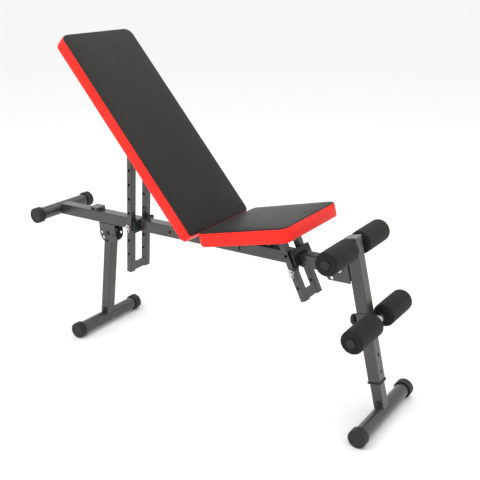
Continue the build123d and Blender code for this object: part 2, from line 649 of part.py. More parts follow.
def all_parts():
    """Every node by name, as one solid or a group of separate solids."""
    outer_rail = rail_y + rail_width / 2
    cheek_out = leg_size / 2 + side_gap + plate_thick
    bracket_out = half_beam + side_gap + plate_thick
    ladder_out = ladder_gap / 2 + ladder_width
    parts = {}
    parts["main_beam"] = main_beam()
    parts["rear_crossbar"] = beam * round_foot(crossbar_half)
    parts["crossbar_caps"] = [Pos(*beam.position) * cap for cap in end_caps(crossbar_half)]
    parts["backrest_rest"] = backrest_rest()
    parts["rest_bumpers"] = rest_bumpers()
    parts["leg_hinge_bracket"] = leg_hinge_bracket()
    parts["leg_pivot_bolt"] = [leg * piece for piece in hex_bolt(bolt_r, -cheek_out, cheek_out)]
    parts["backrest_hinge_ears"] = hinge_ears(back_pivot_along, back_pivot_rise)
    parts["seat_hinge_ears"] = hinge_ears(seat_pivot_along, seat_pivot_rise)
    parts["backrest_hinge_spacers"] = hinge_spacers(back_pivot_along, back_pivot_rise)
    parts["seat_hinge_spacers"] = hinge_spacers(seat_pivot_along, seat_pivot_rise)
    long_bolt = hex_bolt(hinge_bolt_r, -outer_rail - side_gap, outer_rail + side_gap)
    parts["backrest_hinge_bolt"] = [back * piece for piece in long_bolt]
    parts["seat_hinge_bolt"] = [seat * piece for piece in long_bolt]
    parts["back_ladder_guide"] = ladder_guide(back_ladder, back_pin_reach)
    parts["seat_ladder_guide"] = ladder_guide(seat_ladder, seat_pin_reach)
    parts["seat_lock_lugs"] = seat_lock_lugs()
    post_bolt = hex_bolt(hinge_bolt_r, -bracket_out - side_gap, bracket_out + side_gap)
    parts["post_pivot_bolt"] = [at(beam, post_pivot_along, 0) * piece for piece in post_bolt]

    parts["rear_leg_tube"] = leg_tube()
    stub = leg_size - 2 * leg_wall - 2 * weld_gap
    rear = Pos(*rear_foot) * Rot(0, leg_lean, 0)
    parts["rear_foot"] = rear * foot_weldment(rear_foot_half, stub)
    parts["rear_foot_caps"] = [Pos(*rear_foot) * cap for cap in end_caps(rear_foot_half)]
    bolt = hex_bolt(bolt_r, -leg_size / 2, leg_size / 2)
    parts["rear_foot_bolt"] = [rear * Pos(0, 0, foot_bolt_up) * piece for piece in bolt]
    pin = pull_pin(leg_size / 2 + pin_gap - 0.4, cheek_out, way=1)
    parts["leg_lock_pin"] = [at(leg, 0, -fan_hole_reach) * piece for piece in pin]

    parts["backrest_pad"] = back_pad_frame * pad(*back_shape)
    parts["backrest_board"] = back_pad_frame * drilled_board(back_shape, back_rail_length, back_pivot_inset)
    parts["backrest_frame"] = back_pad_frame * pad_frame(
        back_rail_length, rail_depth, back_pivot_inset, back_pivot_depth, back_hinge_reach,
        back_cross_reach, rail_depth)
    screws = pad_screws(back_rail_length, rail_depth, back_pivot_inset)
    parts["backrest_screws"] = [back_pad_frame * screw for screw in screws]
    hinge_bolt = hex_bolt(bolt_r, -outer_rail, outer_rail)
    parts["back_ladder_bolt"] = [back_ladder * piece for piece in hinge_bolt]
    parts["back_ladder"] = back_ladder * ladder(
        back_ladder_length, back_pin_reach, back_holes_up, back_holes_down)
    pin = pull_pin(-half_beam - pin_gap, -ladder_out)
    parts["back_lock_pin"] = [at(back_ladder, 0, -back_pin_reach) * piece for piece in pin]

    parts["seat_pad"] = seat_pad_frame * pad(*seat_shape)
    parts["seat_board"] = seat_pad_frame * drilled_board(seat_shape, seat_rail_length, seat_pivot_inset)
    parts["seat_frame"] = seat_pad_frame * pad_frame(
        seat_rail_length, seat_rail_depth, seat_pivot_inset, seat_pivot_depth, seat_hinge_reach,
        seat_cross_reach, seat_cross_depth)
    screws = pad_screws(seat_rail_length, seat_rail_depth, seat_pivot_inset)
    parts["seat_screws"] = [seat_pad_frame * screw for screw in screws]
    parts["seat_ladder_bolt"] = [seat_ladder * piece for piece in hinge_bolt]
    parts["seat_ladder"] = seat_ladder * ladder(
        seat_ladder_length, seat_pin_reach, seat_holes_up, seat_holes_down)
    pin = pull_pin(-half_beam - plate_thick - pin_gap, -ladder_out, 8.0)
    parts["seat_lock_pin"] = [at(seat_ladder, 0, -seat_pin_reach) * piece for piece in pin]

    parts["front_post"] = post * post_tube()
    parts["post_top_cap"] = post * post_cap()
    parts["post_bracket"] = post_bracket()
    parts["post_collar"] = post * post_collar()
    pin = pull_pin(-half_beam - side_gap + 0.1, -bracket_out)
    parts["post_lock_pin"] = [at(beam, post_pivot_along - lock_reach, 0) * piece for piece in pin]
    parts["upper_roller_tube"] = at(post, 0, upper_roller_up) * roller_tube()
    parts["upper_roller_plugs"] = [at(post, 0, upper_roller_up) * p for p in roller_plugs()]

    parts["inner_leg"] = post * inner_leg()
    parts["front_foot"] = post * foot_weldment(front_foot_half, inner_size - 2 * inner_wall - 2 * weld_gap)
    parts["front_foot_caps"] = [Pos(*post.position) * cap for cap in end_caps(front_foot_half)]
    bolt = hex_bolt(bolt_r, -inner_size / 2, inner_size / 2)
    parts["front_foot_bolt"] = [at(post, 0, foot_bolt_up) * piece for piece in bolt]
    parts["snap_button"] = post * snap_button()

    parts["roller_bracket"] = slide * roller_bracket()
    parts["lower_roller_tube"] = at(slide, roller_offset, 0) * roller_tube()
    parts["lower_roller_plugs"] = [at(slide, roller_offset, 0) * p for p in roller_plugs()]
    parts["roller_knob_pin"] = slide * knob_pin()
    parts["roller_knob"] = slide * knob()
    for side, name in ((1, "left"), (-1, "right")):
        parts["upper_foam_" + name] = at(post, 0, upper_roller_up) * foam_roller(side)
        parts["lower_foam_" + name] = at(slide, roller_offset, 0) * foam_roller(side)
    return parts


def write(parts):
    """One STEP file per node."""
    os.makedirs("parts", exist_ok=True)
    for name, shape in parts.items():
        pieces = shape if isinstance(shape, list) else [shape]
        solids = [solid for piece in pieces for solid in piece.solids()]
        export_step(Compound(children=solids), "parts/" + name + ".step")


if __name__ == "__main__":
    write(all_parts())
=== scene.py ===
import json
import math

import bpy
import numpy as np
from mathutils import Matrix, Vector
from mathutils.bvhtree import BVHTree


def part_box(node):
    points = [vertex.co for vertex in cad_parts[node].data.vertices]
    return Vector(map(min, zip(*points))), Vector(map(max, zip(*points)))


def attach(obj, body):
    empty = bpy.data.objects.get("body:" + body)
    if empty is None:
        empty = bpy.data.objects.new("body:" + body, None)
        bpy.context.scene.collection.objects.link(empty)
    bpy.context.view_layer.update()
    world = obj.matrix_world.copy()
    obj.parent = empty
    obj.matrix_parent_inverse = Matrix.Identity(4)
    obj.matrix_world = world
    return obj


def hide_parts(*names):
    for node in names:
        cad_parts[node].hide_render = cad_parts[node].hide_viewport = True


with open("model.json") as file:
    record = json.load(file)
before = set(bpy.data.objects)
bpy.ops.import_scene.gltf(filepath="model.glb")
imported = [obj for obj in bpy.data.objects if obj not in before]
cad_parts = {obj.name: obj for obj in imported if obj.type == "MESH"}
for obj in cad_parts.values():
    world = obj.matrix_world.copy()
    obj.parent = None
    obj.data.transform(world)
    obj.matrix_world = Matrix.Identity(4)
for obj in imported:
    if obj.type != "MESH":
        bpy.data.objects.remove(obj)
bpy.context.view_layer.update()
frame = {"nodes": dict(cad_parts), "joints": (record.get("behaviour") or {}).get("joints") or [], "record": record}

# A folding decline sit-up bench. Metres, +X towards the foot rollers, +Y to the sitter's left, +Z up.

MM = 0.001


# ---------------------------------------------------------------- materials
class Socket:
    """A value on its way through a material. Arithmetic on it adds Math nodes."""

    def __init__(self, finish, out):
        self.finish = finish
        self.out = out

    def calc(self, operation, *values, clamp=False):
        settings = {"operation": operation, "use_clamp": clamp}
        return self.finish.node("ShaderNodeMath", settings, dict(enumerate(values)))

    def __add__(self, other):
        return self.calc("ADD", self, other)

    def __radd__(self, other):
        return self.calc("ADD", other, self)

    def __sub__(self, other):
        return self.calc("SUBTRACT", self, other)

    def __rsub__(self, other):
        return self.calc("SUBTRACT", other, self)

    def __mul__(self, other):
        return self.calc("MULTIPLY", self, other)

    def __rmul__(self, other):
        return self.calc("MULTIPLY", other, self)

    def __truediv__(self, other):
        return self.calc("DIVIDE", self, other)

    def __pow__(self, other):
        return self.calc("POWER", self, other)

    def above(self, other):
        return self.calc("MAXIMUM", self, other)

    def below(self, other):
        return self.calc("MINIMUM", self, other)

    def size(self):
        return self.calc("ABSOLUTE", self)

    def between(self, low, high):
        """0 below low, 1 above high, and a straight climb between them."""
        return self.calc("DIVIDE", self - low, high - low, clamp=True)


class Finish:
    """A material under construction, on one Principled shader."""

    def __init__(self, name, color, roughness, **constants):
        self.material = bpy.data.materials.new(name)
        self.material.use_nodes = True
        self.tree = self.material.node_tree
        self.shader = self.tree.nodes["Principled BSDF"]
        self.set("Base Color", (*color, 1.0))
        self.set("Roughness", roughness)
        for socket, value in constants.items():
            self.set(socket.replace("_", " "), value)

    def node(self, kind, settings=None, values=None, output=0):
        """A node of a type, with its settings made first, and then its sockets' values or links."""
        made = self.tree.nodes.new(kind)
        for key, value in (settings or {}).items():
            if key == "stops":
                ramp = made.color_ramp
                while len(ramp.elements) < len(value):
                    ramp.elements.new(0.5)
                for element, (place, color) in zip(ramp.elements, value):
                    element.position = place
                    element.color = (*color, 1.0)
            else:
                setattr(made, key, value)
        for key, value in (values or {}).items():
            if isinstance(value, Socket):
                self.tree.links.new(value.out, made.inputs[key])
            else:
                made.inputs[key].default_value = value
        return Socket(self, made.outputs[output])

    def set(self, name, value):
        if isinstance(value, Socket):
            self.tree.links.new(value.out, self.shader.inputs[name])
        else:
            self.shader.inputs[name].default_value = value

    def place(self, origin=None, axes=None, stretch=(1, 1, 1)):
        """Object coordinates, or coordinates along a piece's own axes from its own origin."""
        point = self.node("ShaderNodeTexCoord", output=3)
        if origin is not None:
            turn = Matrix(np.asarray(axes).T.tolist()).to_euler()
            values = {"Vector": point, "Location": tuple(origin), "Rotation": tuple(turn)}
            point = self.node("ShaderNodeMapping", {"vector_type": "TEXTURE"}, values)
        if stretch != (1, 1, 1):
            values = {0: point, 1: stretch}
            point = self.node("ShaderNodeVectorMath", {"operation": "MULTIPLY"}, values)
        return point

    def split(self, point):
        made = [self.node("ShaderNodeSeparateXYZ", None, {0: point}, i) for i in range(3)]
        return made

    def noise(self, point, scale, detail=2.0, rough=0.5):
        values = {"Vector": point, "Scale": scale, "Detail": detail, "Roughness": rough}
        return self.node("ShaderNodeTexNoise", None, values)

    def cells(self, point, scale, feature="F1", jitter=1.0):
        values = {"Vector": point, "Scale": scale, "Randomness": jitter}
        return self.node("ShaderNodeTexVoronoi", {"feature": feature}, values)

    def mix(self, share, first, second):
        """Between two colours."""
        first = (*first, 1.0) if isinstance(first, tuple) else first
        second = (*second, 1.0) if isinstance(second, tuple) else second
        return self.node("ShaderNodeMix", {"data_type": "RGBA"}, {0: share, 6: first, 7: second}, 2)

    def relief(self, height, depth, strength=1.0):
        """Raises and lowers the surface by a height from 0 to 1 times depth."""
        values = {"Height": height, "Distance": depth, "Strength": strength}
        self.set("Normal", self.node("ShaderNodeBump", None, values))


def frame_paint():
    """Dark grey metallic powder coat: orange peel, fine flakes, and rubbed, duller patches."""
    f = Finish("gunmetal_powder_coat", (0.05, 0.048, 0.046), 0.3, Metallic=0.45, Coat_Weight=0.25,
               Coat_Roughness=0.18)
    point = f.place()
    flakes = f.cells(point, 2600.0)
    patches = f.noise(point, 14.0, 5.0, 0.6).between(0.4, 0.75)
    scuffs = f.noise(f.place(stretch=(9, 60, 9)), 9.0, 6.0, 0.7).between(0.62, 0.72)
    shade = f.mix(flakes.between(0.1, 0.6), (0.075, 0.071, 0.068), (0.048, 0.046, 0.044))
    f.set("Base Color", f.mix(patches * 0.35 + scuffs * 0.25, shade, (0.1, 0.096, 0.092)))
    f.set("Roughness", 0.25 + patches * 0.1 + scuffs * 0.12)
    f.relief(f.noise(point, 520.0, 2.0, 0.5) + flakes * 0.15, 0.00012, 0.35)
    return f.material


def black_plastic(name="moulded_black_plastic", color=(0.0105, 0.0101, 0.0095), light=(0.02, 0.0193, 0.018)):
    """Injection-moulded plastic with a spark-eroded grain and greyed high spots."""
    f = Finish(name, color, 0.5, Specular_IOR_Level=0.35)
    point = f.place()
    grain = f.noise(point, 1500.0, 3.0, 0.6)
    worn = f.noise(point, 45.0, 5.0, 0.65).between(0.45, 0.7)
    f.set("Base Color", f.mix(worn * 0.6, color, light))
    f.set("Roughness", 0.42 + worn * 0.16 + grain * 0.08)
    f.relief(grain, 0.00008, 0.6)
    return f.material


def zinc_plate():
    """Bright zinc: a faint crystal mottle, a blue and straw cast, fine scratches."""
    f = Finish("bright_zinc", (0.6, 0.6, 0.6), 0.3, Metallic=1.0)
    point = f.place()
    mottle = f.cells(point, 420.0)
    scratch = f.noise(f.place(stretch=(1, 18, 1)), 160.0, 4.0, 0.7)
    f.set("Base Color", f.mix(mottle.between(0.1, 0.8), (0.68, 0.69, 0.71), (0.55, 0.53, 0.49)))
    f.set("Roughness", 0.2 + scratch * 0.2)
    f.relief(scratch, 0.00003, 0.5)
    return f.material


def black_zinc():
    """Black-plated bolts: a satin black with rubbed corners and a faint mottle."""
    f = Finish("black_zinc", (0.03, 0.03, 0.03), 0.4, Metallic=0.6)
    point = f.place()
    rubbed = f.noise(point, 140.0, 5.0, 0.65).between(0.5, 0.75)
    mottle = f.cells(point, 500.0)
    shade = f.mix(mottle.between(0.1, 0.8), (0.03, 0.03, 0.031), (0.045, 0.043, 0.042))
    f.set("Base Color", f.mix(rubbed * 0.6, shade, (0.12, 0.115, 0.11)))
    f.set("Roughness", 0.34 + rubbed * 0.2)
    f.relief(f.noise(point, 1100.0, 3.0, 0.6), 0.00004, 0.5)
    return f.material


def roller_steel():
    """Drawn steel tube under a thin chrome plate, with lines along the tube."""
    f = Finish("plated_steel_tube", (0.6, 0.6, 0.61), 0.16, Metallic=1.0)
    lines = f.noise(f.place(stretch=(1, 0.02, 1)), 900.0, 3.0, 0.6)
    haze = f.noise(f.place(), 60.0, 4.0, 0.6)
    f.set("Base Color", f.mix(haze.between(0.35, 0.7), (0.66, 0.66, 0.67), (0.5, 0.5, 0.5)))
    f.set("Roughness", 0.1 + lines * 0.12 + haze * 0.06)
    f.relief(lines, 0.00002, 0.4)
    return f.material


def foam_skin():
    """Closed-cell foam: a matt skin with pores of two sizes, the larger pores painted darker as painted shade in
    their hollows.
    """
    f = Finish("black_foam", (0.012, 0.0115, 0.011), 0.85, Specular_IOR_Level=0.2, Sheen_Weight=0.06,
               Sheen_Roughness=0.5)
    point = f.place()
    pores = f.cells(point, 950.0)
    fine = f.noise(point, 2400.0, 2.0, 0.6)
    clouds = f.noise(point, 30.0, 4.0, 0.6).between(0.35, 0.7)
    pore_shade = pores.between(0.0, 0.45)
    skin = f.mix(clouds, (0.0105, 0.0098, 0.0083), (0.016, 0.015, 0.0127))
    # painted shade: the larger pores' hollows are painted darker than the skin
    f.set("Base Color", f.mix(pore_shade, (0.0045, 0.0042, 0.0036), skin))
    f.set("Roughness", 0.78 + fine * 0.15)
    f.relief(pores.between(0.0, 0.5) * 0.7 + fine * 0.3, 0.0003, 0.8)
    return f.material


def bumper_rubber():
    """Matt rubber with a dusty bloom."""
    f = Finish("matt_rubber", (0.02, 0.02, 0.02), 0.75)
    point = f.place()
    bloom = f.noise(point, 90.0, 5.0, 0.65).between(0.4, 0.7)
    f.set("Base Color", f.mix(bloom, (0.016, 0.016, 0.016), (0.034, 0.033, 0.032)))
    f.set("Roughness", 0.66 + bloom * 0.2)
    f.relief(f.noise(point, 1300.0, 2.0, 0.5), 0.0001, 0.5)
    return f.material


def plywood(origin, axes):
    """Plywood stained black: long grain on the faces, and thin lighter and darker plies on the edges."""
    f = Finish("black_stained_plywood", (0.03, 0.027, 0.023), 0.6, Specular_IOR_Level=0.3)
    point = f.place(origin, axes)
    z = f.split(point)[2]
    ply_pair = 0.0034
    turns = z * (2 * math.pi / ply_pair)
    grain = f.noise(f.place(origin, axes, (1.2, 16, 1)), 14.0, 6.0, 0.65)
    pores = f.noise(f.place(origin, axes, (6, 220, 6)), 12.0, 3.0, 0.6).between(0.58, 0.66)
    plies = turns.calc("SINE", turns).between(-0.4, 0.4)
    inside = z.between(0.0004, 0.0008) * (1.0 - z.between(0.0112, 0.0116))
    face = f.mix(grain.between(0.3, 0.7), (0.05, 0.043, 0.035), (0.03, 0.026, 0.021))
    edge = f.mix(plies, (0.022, 0.019, 0.016), (0.055, 0.046, 0.036))
    f.set("Base Color", f.mix(pores * 0.4, f.mix(inside, face, edge), (0.015, 0.013, 0.011)))
    f.set("Roughness", 0.5 + grain * 0.2)
    f.relief(grain * 0.5 + pores * -0.5, 0.0002, 0.5)
    return f.material


def pad_vinyl(name, slab, seam_inset):
    """Grained black vinyl on the panel, and red vinyl on the side band, with painted shade in the grain's creases.

    The red starts within seam_inset of the outline, whose distance is that of a rounded rectangle, and
    covers everything below half the pad's thickness.
    """
    f = Finish(name, (0.02, 0.02, 0.02), 0.42, Specular_IOR_Level=0.2, Sheen_Weight=0.02, Sheen_Roughness=0.4)
    point = f.place(slab.origin, slab.axes)
    x, y, z = f.split(point)
    far = x.calc("GREATER_THAN", x, 0.0)
    radius = slab.near_radius + far * (slab.far_radius - slab.near_radius)
    dx = x.size() - slab.length / 2 + radius
    dy = y.size() - slab.width / 2 + radius
    outside = (dx.above(0.0) * dx.above(0.0) + dy.above(0.0) * dy.above(0.0)) ** 0.5
    edge = outside + dx.above(dy).below(0.0) - radius
    band = edge.between(-seam_inset - 0.00015, -seam_inset + 0.00015)
    band = band.above(1.0 - z.between(slab.thick * 0.5 - 0.0005, slab.thick * 0.5))
    pebbles = f.cells(point, 620.0, "SMOOTH_F1")
    creases_and_shade = f.cells(point, 300.0, "DISTANCE_TO_EDGE").between(0.0, 0.09)
    fine = f.noise(point, 2200.0, 3.0, 0.6)
    clouds = f.noise(point, 7.0, 4.0, 0.6).between(0.35, 0.7)
    rubbed = f.noise(point, 26.0, 5.0, 0.65).between(0.45, 0.75)
    black = f.mix(clouds, (0.0108, 0.0101, 0.0088), (0.0142, 0.0134, 0.0118))
    # painted shade: the grain's creases are painted darker on the black vinyl
    black = f.mix(creases_and_shade, (0.006, 0.0057, 0.005), black)
    red = f.mix(clouds, (0.86, 0.016, 0.009), (0.94, 0.024, 0.014))
    # painted shade: the grain's creases are painted a darker red on the band
    red = f.mix(creases_and_shade * 0.5 + 0.5, (0.6, 0.014, 0.01), red)
    f.set("Base Color", f.mix(band, black, red))
    f.set("Roughness", (0.4 + rubbed * 0.08 + fine * 0.06) * (1.0 - band) + band * (0.36 + rubbed * 0.08))
    grain = pebbles * 0.45 + creases_and_shade * 0.45 + fine * 0.1
    f.relief(grain, 0.00022, 0.55)
    return f.material


def stitch_thread():
    """Twisted black thread, painted lighter on the raised twist and darker in its grooves: painted highlight and
    painted shade.
    """
    f = Finish("black_thread", (0.02, 0.02, 0.02), 0.6, Sheen_Weight=0.3, Sheen_Roughness=0.4)
    point = f.place()
    twist_and_shade = f.noise(point, 2600.0, 2.0, 0.6)
    # painted highlight and shade: the colour follows the relief's noise, lighter where the twist stands up
    f.set("Base Color", f.mix(twist_and_shade, (0.012, 0.012, 0.012), (0.05, 0.048, 0.046)))
    f.relief(twist_and_shade, 0.0001, 0.7)
    return f.material


# ---------------------------------------------------------------- making surfaces
def grid_faces(rows, columns, join_rows=False, start=0):
    """Quads between neighbours on a grid whose columns join up, and whose rows may too."""
    row = np.arange(rows if join_rows else rows - 1)[:, None]
    column = np.arange(columns)[None, :]
    across = (column + 1) % columns
    after = (row + 1) % rows
    quads = np.stack([row * columns + column, row * columns + across, after * columns + across,
                      after * columns + column], axis=-1)
    return start + quads.reshape(-1, 4)


def make_mesh(name, points, faces):
    """A mesh from an array of points and lists of faces, shaded smooth."""
    mesh = bpy.data.meshes.new(name)
    mesh.from_pydata(points.tolist(), [], [list(map(int, face)) for face in faces])
    mesh.polygons.foreach_set("use_smooth", np.ones(len(mesh.polygons), dtype=bool))
    mesh.update()
    return mesh


def outward(mesh):
    """Turns a closed mesh's faces outwards, by the sign of the volume that they enclose."""
    mesh.calc_loop_triangles()
    tris = np.empty(3 * len(mesh.loop_triangles), dtype=np.int32)
    mesh.loop_triangles.foreach_get("vertices", tris)
    a, b, c = mesh_points(mesh)[tris.reshape(-1, 3)].transpose(1, 0, 2)
    if np.einsum("ij,ij->", a, np.cross(b, c)) < 0:
        mesh.flip_normals()
    return mesh


def mesh_points(mesh):
    points = np.empty(3 * len(mesh.vertices))
    mesh.vertices.foreach_get("co", points)
    return points.reshape(-1, 3)


def make_piece(name, mesh, body, material, stands_for=()):
    """A finished piece at the origin, riding on a body."""
    piece = bpy.data.objects.new(name, mesh)
    bpy.context.scene.collection.objects.link(piece)
    piece.data.materials.append(material)
    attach(piece, body)
    if stands_for:
        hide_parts(*stands_for)
    return piece


def arc(centre, radius, start, end, steps=7):
    """Points on an arc in a plane, between two angles in degrees."""
    turn = np.radians(np.linspace(start, end, steps))
    return np.column_stack([centre[0] + radius * np.cos(turn), centre[1] + radius * np.sin(turn)])


def fine_line(points, step):
    """A path's points, with more of them wherever two neighbours stand further apart than step."""
    parts = []
    for a, b in zip(points[:-1], points[1:]):
        count = max(1, math.ceil(np.linalg.norm(b - a) / step))
        parts.append(a + (b - a) * (np.arange(count) / count)[:, None])
    return np.concatenate(parts + [points[-1:]])


def turned(profile, columns, wave=None, closed=False):
    """A profile of (distance along the axis, radius) carried round +Y.

    The height of each point is radius x sin(angle) and its depth radius x cos(angle), where
    wave(angle, along, radius) adds to the radius.
    """
    angle = 2 * np.pi * np.arange(columns) / columns
    along = np.repeat(profile[:, 0:1], columns, axis=1)
    radius = np.repeat(profile[:, 1:2], columns, axis=1)
    if wave is not None:
        radius = radius + wave(angle[None, :], along, radius)
    points = np.stack([radius * np.cos(angle), along, radius * np.sin(angle)], axis=-1).reshape(-1, 3)
    faces = grid_faces(len(profile), columns, closed).tolist()
    if not closed:
        last = (len(profile) - 1) * columns
        faces.append(list(range(columns))[::-1])
        faces.append(list(range(last, last + columns)))
    return points, faces


# ---------------------------------------------------------------- cushions
class Slab:
    """A pad's own axes, from its CAD board: along, across and up, from the middle of its underside."""

    def __init__(self, pad, board, way, near_radius, far_radius):
        mesh = frame["nodes"][board].data
        mesh.calc_loop_triangles()
        tris = np.empty(3 * len(mesh.loop_triangles), dtype=np.int32)
        mesh.loop_triangles.foreach_get("vertices", tris)
        a, b, c = mesh_points(mesh)[tris.reshape(-1, 3)].transpose(1, 0, 2)
        normals = np.cross(b - a, c - a)
        up = normals[np.argmax(np.linalg.norm(normals, axis=1))]
        up = up / np.linalg.norm(up) * (1 if up[2] > 0 else -1)
        along = way * np.cross([0, 1, 0], up)
        across = np.cross(up, along)
        self.axes = np.array([along, across, up])
        low = (mesh_points(frame["nodes"][pad].data) @ self.axes.T).min(0)
        high = (mesh_points(frame["nodes"][pad].data) @ self.axes.T).max(0)
        self.length, self.width, self.thick = high - low
        self.origin = self.axes.T @ np.array([(low[0] + high[0]) / 2, (low[1] + high[1]) / 2, low[2]])
        self.near_radius = near_radius
        self.far_radius = far_radius

    def out(self, points):
        """From the pad's axes to the frame."""
        return self.origin + points @ self.axes

    def edge(self, points):
        """How far outside the pad's outline each point is, seen along its thickness."""
        radius = np.where(points[:, 0] > 0, self.far_radius, self.near_radius)
        dx = np.abs(points[:, 0]) - self.length / 2 + radius
        dy = np.abs(points[:, 1]) - self.width / 2 + radius
        return np.hypot(np.maximum(dx, 0), np.maximum(dy, 0)) + np.minimum(np.maximum(dx, dy), 0) - radius


def outline(slab, inset, count):
    """Evenly spaced points round the pad's outline, moved inwards by inset: straight sides joined by arcs."""
    half_long = slab.length / 2 - inset
    half_wide = slab.width / 2 - inset
    far = max(slab.far_radius - inset, 0.002)
    near = max(slab.near_radius - inset, 0.002)
    far = min(far, half_wide * 0.98)
    near = min(near, half_wide * 0.98)
    ring = np.concatenate([
        arc((half_long - far, half_wide - far), far, 0, 90, 24),
        arc((near - half_long, half_wide - near), near, 90, 180, 24),
        arc((near - half_long, near - half_wide), near, 180, 270, 24),
        arc((half_long - far, far - half_wide), far, 270, 360, 24)])
    ring = np.vstack([ring, ring[:1]])
    walked = np.concatenate([[0], np.cumsum(np.linalg.norm(np.diff(ring, axis=0), axis=1))])
    place = walked[-1] * np.arange(count) / count
    return np.column_stack([np.interp(place, walked, ring[:, 0]), np.interp(place, walked, ring[:, 1])])


def loft(slab, sections, count=240):
    """A closed slab: rings of the outline at each (inset, height), closed by a flat face at both ends."""
    rings = []
    for inset, height in sections:
        ring = outline(slab, inset, count)
        rings.append(np.column_stack([ring, np.full(count, height)]))
    faces = grid_faces(len(rings), count).tolist()
    last = (len(rings) - 1) * count
    faces.append(list(range(count))[::-1])
    faces.append(list(range(last, last + count)))
    return np.concatenate(rings), faces


def baked(piece):
    """A piece's mesh with its modifiers applied."""
    graph = bpy.context.evaluated_depsgraph_get()
    return bpy.data.meshes.new_from_object(piece.evaluated_get(graph))


def swollen(slab, name, voxel, cap, seam):
    """Foam under pressure in its cover.

    A slab a little smaller than the pad is remeshed and inflated as cloth that is held along the seam and under
    the board, so that the panel crowns and the side band rounds out between them. No point moves further than
    cap, and none moves down below the underside.
    """
    shrink = 0.0012
    top = slab.thick - 0.0014
    sections = [(0.06, 0.0007), (0.008, 0.0007), (shrink + 0.0014, 0.0009), (shrink + 0.0004, 0.002)]
    sections += [(shrink + 0.0003, height) for height in np.linspace(0.004, top - 0.008, 7)]
    sections += [(shrink + 0.005 - x, top - 0.005 + z) for x, z in arc((0, 0), 0.005, 0, 90, 7)]
    sections += [(0.03, top + 0.0002), (0.06, top + 0.0004)]
    points, faces = loft(slab, sections)
    piece = bpy.data.objects.new(name + "_start", outward(make_mesh(name + "_start", points, faces)))
    bpy.context.scene.collection.objects.link(piece)
    remesh = piece.modifiers.new("voxels", "REMESH")
    remesh.mode = "VOXEL"
    remesh.voxel_size = voxel
    remesh.use_smooth_shade = True
    mesh = baked(piece)
    piece.modifiers.clear()
    piece.data = mesh
    start = mesh_points(mesh)
    edge = slab.edge(start)
    held = (start[:, 2] < 0.004) | ((np.abs(edge + seam) < 0.0035) & (start[:, 2] > slab.thick - 0.009))
    group = piece.vertex_groups.new(name="held")
    group.add(np.flatnonzero(held).tolist(), 1.0, "REPLACE")
    cloth = piece.modifiers.new("cloth", "CLOTH")
    cloth.settings.quality = 5
    cloth.settings.vertex_group_mass = "held"
    cloth.settings.use_pressure = True
    cloth.settings.uniform_pressure_force = 4.0
    cloth.settings.effector_weights.gravity = 0.0
    cloth.collision_settings.use_collision = False
    scene = bpy.context.scene
    for step in range(1, 21):
        scene.frame_set(step)
    end = mesh_points(baked(piece))
    scene.frame_set(1)
    piece.modifiers.clear()
    move = end - start
    far = np.linalg.norm(move, axis=1, keepdims=True)
    move = move * cap * np.tanh(far / cap) / np.maximum(far, 1e-9)
    start = start + move
    bpy.data.objects.remove(piece)
    return start, mesh


def cushion(name, body, slab, stands_for, cap, lip):
    """A pad: the swollen cover with its seam pulled in, and a lip that hangs below the edge of the board.

    The lip runs along the sides and the far end, and fades out before the rails at the near end.
    """
    seam = 0.0035
    voxel = 0.005
    crown_height = 0.0035
    waist_depth = 0.0012
    pinch_depth = 0.0012
    underside = 0.0007
    rails_clear = 0.02
    points, mesh = swollen(slab, name, voxel, cap, seam)
    edge = slab.edge(points)
    # the panel crowns towards its middle
    upper = np.clip((points[:, 2] - slab.thick + 0.012) / 0.006, 0, 1)
    crown = np.clip(-edge / (slab.width * 0.5), 0, 1)
    points[:, 2] += upper * crown_height * (1 - (1 - crown) ** 2.5)
    # the long sides draw in a little at the middle of their length
    waist = np.clip(1 + edge / 0.006, 0, 1) * np.sin(np.pi * np.clip(points[:, 2] / slab.thick, 0, 1)) ** 2
    middle = np.cos(np.pi * points[:, 0] / slab.length) ** 2
    side = np.abs(points[:, 1]) > slab.width / 2 - 0.02
    points[:, 1] -= np.sign(points[:, 1]) * side * middle * waist * waist_depth
    # the seam is pulled in
    pinch = np.exp(-((edge + seam) / 0.0028) ** 2) * (points[:, 2] > slab.thick * 0.6)
    points[:, 2] -= pinch_depth * pinch
    # the lip hangs outside the board, past the rails
    points[:, 2] = np.maximum(points[:, 2], underside)
    low = np.clip(1 - points[:, 2] / 0.012, 0, 1) * np.clip((edge + 0.0075) / 0.003, 0, 1)
    points[:, 2] -= lip * low * np.clip((points[:, 0] + slab.length / 2 - rails_clear) / 0.02, 0, 1)
    mesh.vertices.foreach_set("co", slab.out(points).ravel())
    mesh.polygons.foreach_set("use_smooth", np.ones(len(mesh.polygons), dtype=bool))
    mesh.update()
    material = pad_vinyl(name + "_vinyl", slab, seam)
    piece = make_piece(name, outward(mesh), body, material, stands_for)
    smooth = piece.modifiers.new("subdivision", "SUBSURF")
    smooth.levels = smooth.render_levels = 1
    return piece


